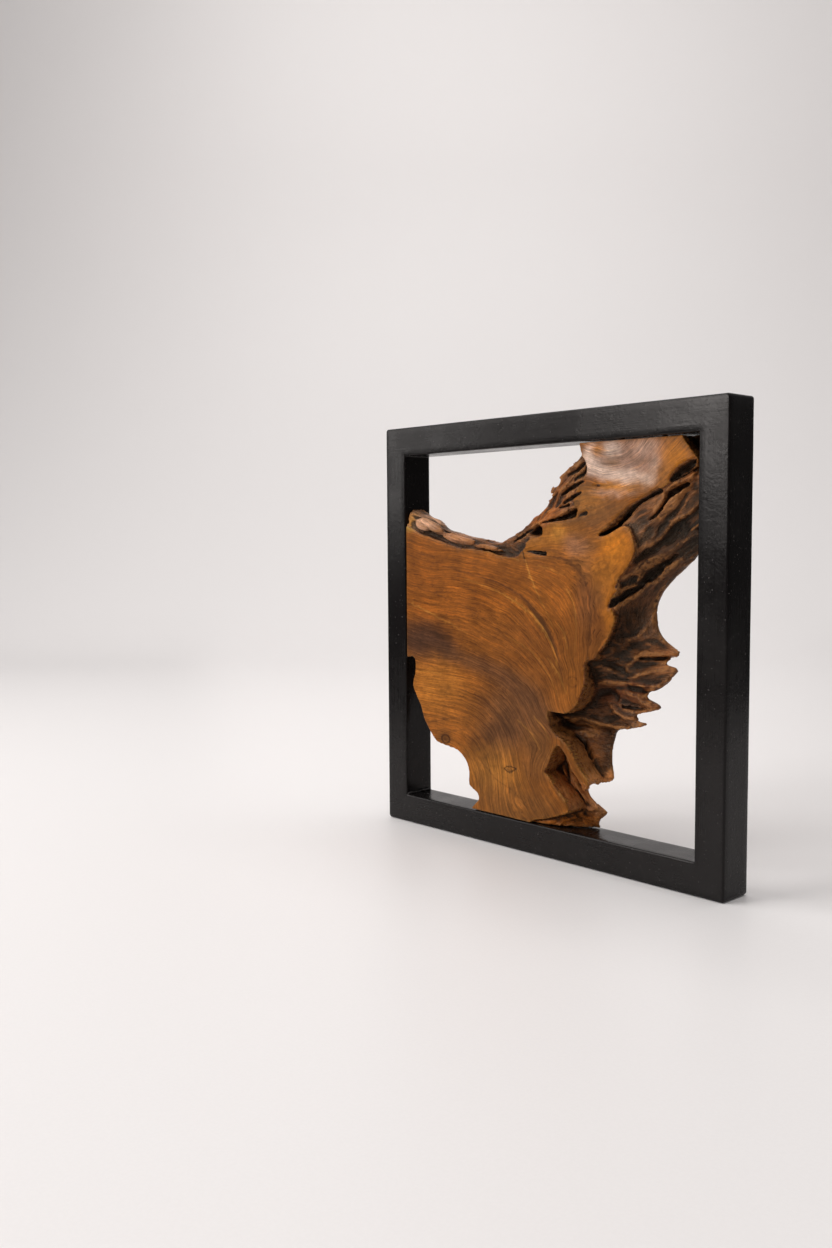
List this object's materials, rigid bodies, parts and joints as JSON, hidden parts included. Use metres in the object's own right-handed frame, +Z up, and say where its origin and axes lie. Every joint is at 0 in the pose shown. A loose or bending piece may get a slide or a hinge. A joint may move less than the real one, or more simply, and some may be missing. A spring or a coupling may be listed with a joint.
{
  "type": "framed teak root wall panel",
  "caption": "Square black-painted wooden frame holding a sanded slice of natural teak root; stands on a shelf or hangs flat on a wall.",
  "frame": {"origin": "on the standing surface, under the middle of the bottom rail", "axes": "+X right along the bottom rail, +Y from the sanded front to the back, +Z up"},
  "size_m": [0.4, 0.035, 0.4],
  "materials": {
    "black_paint": "satin black paint over wood, with faint grain and brush marks",
    "teak": "satin varnish on sanded and natural teak root",
    "dowel_wood": "raw beech",
    "screw_steel": "zinc-plated",
    "painted_filler": "wood filler, sanded flush and painted black"
  },
  "bodies": {
    "root": {"top_rail": "black_paint", "bottom_rail": "black_paint", "left_stile": "black_paint", "right_stile": "black_paint", "teak_root": "teak", "dowel_bottom_left_front": "dowel_wood", "dowel_bottom_left_rear": "dowel_wood", "dowel_bottom_right_front": "dowel_wood", "dowel_bottom_right_rear": "dowel_wood", "dowel_top_left_front": "dowel_wood", "dowel_top_left_rear": "dowel_wood", "dowel_top_right_front": "dowel_wood", "dowel_top_right_rear": "dowel_wood", "screw_left_lower": "screw_steel", "screw_left_upper": "screw_steel", "screw_top_inner": "screw_steel", "screw_top_outer": "screw_steel", "screw_right_upper": "screw_steel", "screw_right_lower": "screw_steel", "screw_bottom_outer": "screw_steel", "screw_bottom_inner": "screw_steel", "plug_left_lower": "painted_filler", "plug_left_upper": "painted_filler", "plug_top_inner": "painted_filler", "plug_top_outer": "painted_filler", "plug_right_upper": "painted_filler", "plug_right_lower": "painted_filler", "plug_bottom_outer": "painted_filler", "plug_bottom_inner": "painted_filler"}
  },
  "joints": []
}
